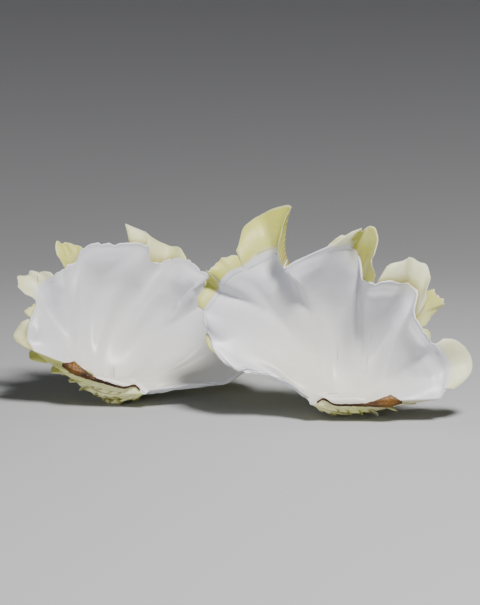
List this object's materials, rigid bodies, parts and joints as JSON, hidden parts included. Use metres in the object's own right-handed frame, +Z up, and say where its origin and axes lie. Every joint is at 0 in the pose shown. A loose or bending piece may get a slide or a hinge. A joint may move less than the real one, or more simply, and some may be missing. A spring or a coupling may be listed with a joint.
{
  "type": "fluted giant clam shell",
  "caption": "Fluted giant clam shell standing open: deep fan-shaped valves with scaly ribs outside, zigzag edges that interlock, hinge plates and dried ligament.",
  "frame": {"origin": "on the floor, under the middle of the box round both halves as they stand", "axes": "+X to the viewer's right across both halves, +Y away from the viewer, +Z up; both hollow sides face -Y"},
  "size_m": [0.5843, 0.238, 0.259],
  "materials": {
    "shell": "smooth porcelain-like inside with a soft sheen, chalky and ribbed outside",
    "ligament": "dry, brown and horny, amber where it is thick"
  },
  "bodies": {
    "root": {"left_valve": "shell", "right_valve": "shell", "left_ligament": "ligament", "right_ligament": "ligament"}
  },
  "joints": []
}
